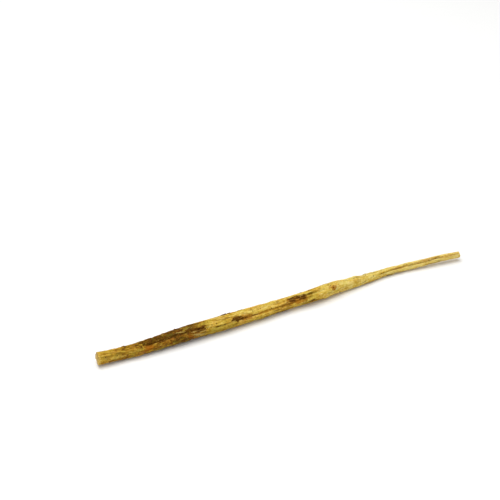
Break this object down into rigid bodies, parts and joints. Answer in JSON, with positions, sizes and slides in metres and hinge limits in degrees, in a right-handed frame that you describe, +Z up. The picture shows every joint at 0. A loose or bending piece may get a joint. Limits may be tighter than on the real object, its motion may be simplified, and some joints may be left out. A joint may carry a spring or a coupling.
{
  "type": "glehnia root",
  "caption": "Dried glehnia root: a slender, furrowed taproot that tapers from a knife-cut, ribbed crown to a snapped tip, lying on its side.",
  "frame": {"origin": "on the surface the root lies on, under the middle of its bounding box", "axes": "+X along the root from the crown to the tip, +Z up from the surface it lies on"},
  "size_m": [0.2816, 0.0162, 0.0103],
  "materials": {
    "dried_root": "matte, dry and fibrous: golden-tan peeled skin with brown bark left in the furrows"
  },
  "bodies": {
    "root": {"glehnia_root": "dried_root"}
  },
  "joints": []
}
